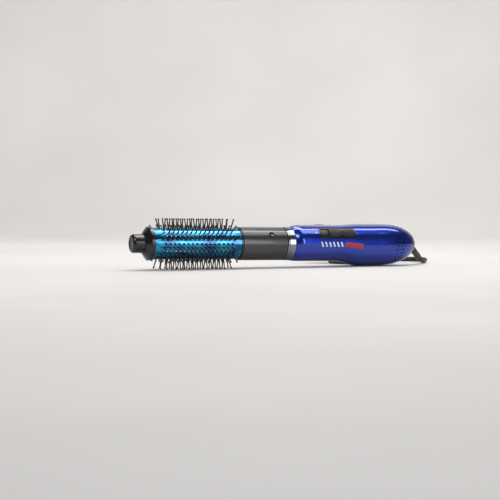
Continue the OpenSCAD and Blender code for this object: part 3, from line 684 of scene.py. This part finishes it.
def rounded(x0, x1, w, r, steps=8):
    """A rectangle outline of (x, y) with round corners, centred across the axis."""
    out = []
    corners = ((x1 - r, w / 2 - r, 0), (x0 + r, w / 2 - r, 90),
               (x0 + r, r - w / 2, 180), (x1 - r, r - w / 2, 270))
    for cx, cy, a0 in corners:
        for i in range(steps + 1):
            a = math.radians(a0 + 90 * i / steps)
            out.append((cx + r * math.cos(a), cy + r * math.sin(a)))
    return out


def joined(parts):
    """Several (points, faces) as one."""
    verts, faces = [], []
    for v, f in parts:
        faces += [tuple(len(verts) + i for i in face) for face in f]
        verts += list(v)
    return verts, faces


def intake_cutters():
    """Cutters for three staggered rings of air holes, a little wider at the skin."""
    parts = []
    columns, rows, row_gap = 32, 3, 4.3
    for k in range(columns):
        a = 2 * math.pi * (k + 0.5) / columns
        for i in range(rows):
            x = X_INTAKE + row_gap * (i + (k % 2) / 2)
            centre = Vector((x, 0, handle_c(x)))
            way = Vector((0, -math.sin(a), math.cos(a)))
            side = Vector((0, math.cos(a), math.sin(a)))
            rings = []
            for out, r in ((-SHELL_WALL - 2, 0.8), (-0.25, 0.82), (0.05, 1.0), (1.5, 1.1)):
                base = centre + way * (handle_r(x) + out)
                rings += [base + r * (math.cos(t) * Vector((1, 0, 0)) + math.sin(t) * side)
                          for t in [2 * math.pi * j / 16 for j in range(16)]]
            parts.append((rings, ring_faces(4, 16, True)))
    return joined(parts)


def make_handle(mats):
    """Both shells, cut for the air intake, the switch panel, the lamp and the screws."""
    for name, node, side in (("handle_upper", "upper_shell", 1), ("handle_lower", "lower_shell", -1)):
        verts, faces = shell_mesh(side)
        shell = piece(name, verts, faces, "handle", mats["handle_blue"], AXIS, [node])
        cutters = [intake_cutters()]
        through = 5, 40
        if side > 0:
            cutters.append(prism(rounded(X_PANEL, X_PANEL + PANEL_LEN, PANEL_W, PANEL_CORNER), *through))
            cutters.append(prism(circle(LENS_HOLE_R, 24, X_LENS), *through))
        else:
            for x in SCREWS_X:
                floor = handle_c(x) - handle_r(x)
                cutters.append(prism(circle(SCREW_WELL_R, 32, x), floor - 4, floor + SCREW_WELL_DEPTH))
        verts, faces = joined(cutters)
        cut(shell, piece("cutter", verts, faces, None, None))
        sharpen(shell, 30)
        true_normals(shell, skin_normal)


def skin_patch(outline, out=0.03, step=0.6):
    """A thin printed patch on the skin: an outline of (x, distance round from the switch's middle line)."""
    xs = [p[0] for p in outline]
    ys = [p[1] for p in outline]
    points = [Vector(p) for p in outline]
    n = len(points)
    x = min(xs) + step
    while x < max(xs):
        y = min(ys) + step
        while y < max(ys):
            points.append(Vector((x, y)))
            y += step
        x += step
    coords, _, faces, *_ = delaunay_2d_cdt(points, [(i, (i + 1) % n) for i in range(n)], [], 1, 1e-4)
    verts = [skin_point(x, y / R_GRIP, out) for x, y in coords]
    return verts, [tuple(f) for f in faces]


def make_print(mats):
    """Generic graphics in place of the maker's: white slashes, a red bar and a black dash."""
    def slash(x, y, w, h, lean):
        return [(x, y), (x + w, y), (x + w + lean, y + h), (x + lean, y + h)]

    row, dash_row = 9.5, -6.1
    whites = [skin_patch(slash(202 + i * 4.6, row + 0.6, 1.8, 5.0, 1.6)) for i in range(6)]
    verts, faces = joined(whites)
    piece("print_slashes", verts, faces, "handle", mats["print_white"])
    verts, faces = skin_patch([(x, y + dash_row) for x, y in rounded(194.2, 201.0, 1.2, 0.5, 4)])
    piece("print_dash", verts, faces, "handle", mats["switch_black"])
    verts, faces = skin_patch([(x, y + row + 3.2) for x, y in rounded(231, 252, 4.6, 1.2)])
    piece("print_bar", verts, faces, "handle", mats["print_red"])


# ---------------------------------------------------------------- brush head
def strip_angle(k):
    """Angle of strip k about the axis; whole numbers are bristle rows, halves are air holes."""
    return 2 * math.pi / STRIPS * (k + 0.5) - ROLL


def barrel_rows():
    """Rows of holes round the barrel: (angle, hole radius, places along it)."""
    rows = []
    for k in range(STRIPS):
        shift = (k % 2) / 2
        pins = [X_FIRST + PITCH * (i + shift) for i in range(PER_STRIP - k % 2)]
        vents = [X_FIRST + PITCH * (i + 0.5 + shift) for i in range(PER_STRIP - 1)]
        rows += [(strip_angle(k), PIN_HOLE_R, pins), (strip_angle(k + 0.5), AIR_HOLE_R, vents)]
    return rows


def make_barrel(mats):
    """Perforated tube: each row is triangulated flat round its holes, then wrapped."""
    rows = barrel_rows()
    width = 2 * math.pi * R_BARREL / len(rows)
    cols = 118
    verts, faces = [], []
    for angle, hole_r, places in rows:
        edge = [X_BARREL + (X_LIP - X_BARREL) * i / cols for i in range(cols + 1)]
        points = [Vector((x, -width / 2)) for x in edge] + [Vector((x, width / 2)) for x in reversed(edge)]
        links = [(i, (i + 1) % len(points)) for i in range(len(points))]
        for y in (-width / 4, 0, width / 4):
            points += [Vector((x, y)) for x in edge[::2]
                       if all(math.hypot(x - h, y) > hole_r + 0.25 for h in places)]
        for h in places:
            base, n = len(points), 20
            points += [Vector(p) for p in circle(hole_r, n, h)]
            links += [(base + j, base + (j + 1) % n) for j in range(n)]
        coords, _, tris, *_ = delaunay_2d_cdt(points, links, [], 1, 1e-5)
        base = len(verts)
        for x, y in coords:
            a = angle + y / R_BARREL
            verts.append((x, -R_BARREL * math.sin(a), R_BARREL * math.cos(a)))
        for t in tris:
            mid = sum((coords[i] for i in t), Vector((0, 0))) / len(t)
            if all(math.hypot(mid.x - h, mid.y) > hole_r * 0.97 for h in places):
                faces.append(tuple(base + i for i in reversed(t)))
    barrel = piece("barrel_tube", verts, faces, "brush_head", mats["barrel_coating"],
                   AXIS, ["barrel"])
    weld = barrel.modifiers.new("weld", "WELD")
    weld.merge_threshold = 0.01 * MM
    wall = barrel.modifiers.new("wall", "SOLIDIFY")
    wall.thickness = BARREL_WALL * MM
    wall.offset = -1
    # The inside and the hole walls take the black plastic: painted shade that makes the holes read dark.
    wall.material_offset = 1
    barrel.data.materials.append(mats["black_plastic"])
    apply_modifiers(barrel)
    sharpen(barrel, 40)

    def outward(p):
        r = math.hypot(p.y, p.z)
        return Vector((0, p.y / r, p.z / r)) if abs(r - R_BARREL) < 0.05 else None

    true_normals(barrel, outward)


def bristle(x, lean):
    """A ball-tipped nylon pin, as points and faces standing up from the axis at x."""
    sides, length = 14, R_TIPS - R_BORE + 1
    outline = [(0.0, 0.80), (0.9, 0.80), (1.6, 0.76)]
    outline += [(1.6 + (length - 2.3) * i / 4, 0.76 - 0.18 * i / 4) for i in range(1, 5)]
    outline += [(length + BALL_R * math.sin(a), BALL_R * math.cos(a))
                for a in [math.radians(-52 + 142 * i / 8) for i in range(9)]]
    wobble, side = random.uniform(-0.05, 0.05), random.uniform(-0.035, 0.035)
    turn = Matrix.Rotation(lean + wobble, 3, "Y") @ Matrix.Rotation(side, 3, "X")
    foot = Vector((x, 0, R_BORE - 1))
    verts = []
    for h, r in outline:
        for j in range(sides):
            a = 2 * math.pi * j / sides
            verts.append(foot + turn @ Vector((r * math.cos(a), r * math.sin(a), h)))
    return verts, ring_faces(len(outline), sides, True)


def make_bristles(mats):
    for k in range(STRIPS):
        last = PER_STRIP - 1 - k % 2
        parts = [bristle(X_FIRST + PITCH * (i + (k % 2) / 2), -LEAN if i == 0 else LEAN if i == last else 0)
                 for i in range(last + 1)]
        top = R_BORE - 0.15
        parts.append(prism(rounded(X_BARREL + 7, X_LIP - 7, 3, 0.8, 4), top - 1.6, top))
        verts, faces = joined(parts)
        matrix = AXIS @ Matrix.Rotation(strip_angle(k), 4, "X")
        name = "bristle_strip_%02d" % (k + 1)
        strip = piece("bristles_%02d" % (k + 1), verts, faces, "brush_head",
                      mats["bristle_nylon"], matrix, [name])
        sharpen(strip, 50)


# ---------------------------------------------------------------- stage and light
def area_light(name, at, target, size, energy, colour=(1, 1, 1)):
    data = bpy.data.lights.new(name, "AREA")
    data.shape = "RECTANGLE"
    data.size, data.size_y = size
    data.energy = energy
    data.color = colour
    light = bpy.data.objects.new(name, data)
    light.location = at
    light.rotation_euler = (Vector(target) - Vector(at)).to_track_quat("-Z", "Y").to_euler()
    bpy.context.scene.collection.objects.link(light)


def make_stage():
    """A pale floor that curves up into a pale wall, with soft boxes above, behind and in front."""
    finish = Finish("backdrop")
    finish.tones(finish.noise(3, 2), (0.70, 0.68, 0.66), (0.76, 0.74, 0.72))
    finish.rough(finish.noise(8, 2), 0.55, 0.7)
    sweep_r, depth = 600, 1300
    outline = [(-2600, 0), (depth, 0)]
    outline += [(depth + sweep_r * math.sin(math.radians(a)), sweep_r - sweep_r * math.cos(math.radians(a)))
                for a in range(5, 91, 5)]
    outline += [(depth + sweep_r, 2600)]
    # The wall stands square to the photograph's view.
    verts = [(x, y, z) for y, z in outline for x in (-3200, 3200)]
    faces = [(2 * i, 2 * i + 1, 2 * i + 3, 2 * i + 2) for i in range(len(outline) - 1)]
    matrix = Matrix.Rotation(CAMERA_TURN, 4, "Z")
    floor = piece("backdrop", verts, faces, None, finish.mat, matrix)
    world = bpy.data.worlds.new("world")
    world.use_nodes = True
    background = world.node_tree.nodes["Background"]
    background.inputs["Color"].default_value = (0.93, 0.95, 1.0, 1)
    background.inputs["Strength"].default_value = 0.14
    bpy.context.scene.world = world
    bpy.context.scene.view_settings.view_transform = "Standard"
    area_light("key", (-0.75, -0.75, 1.15), (0, 0, 0.02), (0.9, 0.45), 9.5)
    area_light("top", (0.25, 0.10, 1.0), (0, 0, 0.02), (1.3, 0.35), 5.6)
    area_light("wall", (0.45, 0.35, 1.9), (0.75, 1.6, 0.7), (2.4, 0.6), 34)
    area_light("front", (0.55, -1.5, 0.35), (0, 0, 0.03), (0.25, 0.9), 5, (1.0, 0.98, 0.96))


def dress_cad(mats):
    """Finishes for the CAD pieces that are shown as they are."""
    slots = {s["node"]: s["material_slot"] for s in frame["record"]["subparts"]}
    for name, obj in frame["nodes"].items():
        obj.data.materials.clear()
        obj.data.materials.append(mats[slots[name]])
        obj.data.shade_smooth()
        obj.data.set_sharp_from_angle(angle=math.radians(28))


make_camera()
mats = make_materials()
mats["strap"] = woven("strap", (0.006, 0.006, 0.007), (0.03, 0.03, 0.034), 1400)
cord, cord_line = make_cord(mats)
plug = make_plug(mats)
tie = make_tie(mats)
dress_cad(mats)
make_boot(mats)
make_handle(mats)
make_print(mats)
make_barrel(mats)
make_bristles(mats)
make_stage()
